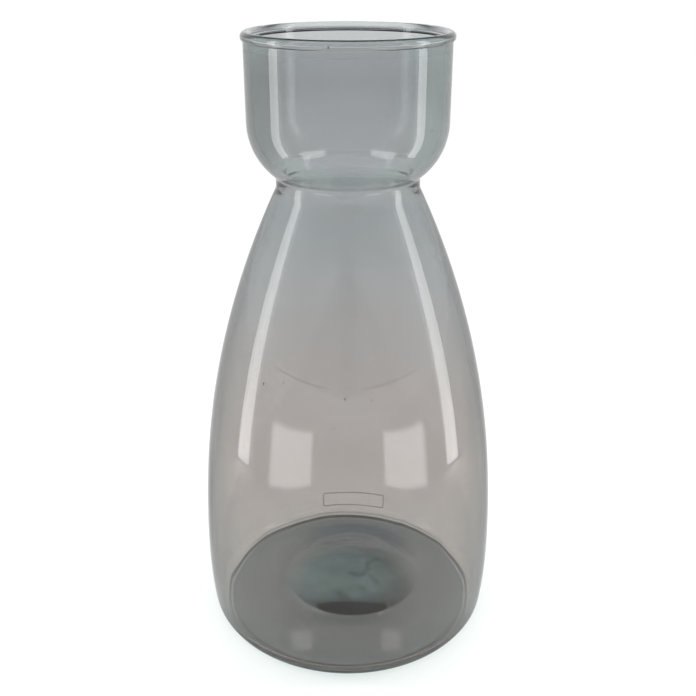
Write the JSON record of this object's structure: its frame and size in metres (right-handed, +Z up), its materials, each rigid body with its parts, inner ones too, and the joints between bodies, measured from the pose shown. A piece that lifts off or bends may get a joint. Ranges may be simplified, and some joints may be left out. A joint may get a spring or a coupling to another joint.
{
  "type": "bottle vase",
  "caption": "Tall free-standing bottle vase of tinted clear glass: a full belly narrows to a waist, with an open, rounded cup above it and a beaded rim.",
  "frame": {"origin": "centre of the base, on the plane that the vase stands on", "axes": "+Z up along the vase's axis, out of its mouth; the outside is round, and +Y is the back of the picture, the side that the dome on the floor stands towards"},
  "size_m": [0.216, 0.216, 0.43],
  "materials": {
    "glass": "clear, smoke grey with a faint blue-green cast, smooth and slightly wavy"
  },
  "bodies": {
    "root": {"base": "glass", "foot": "glass", "heel": "glass", "lower_belly": "glass", "belly": "glass", "flank": "glass", "shoulder": "glass", "collar": "glass", "neck": "glass", "bowl": "glass", "cup": "glass", "rim": "glass"}
  },
  "joints": []
}
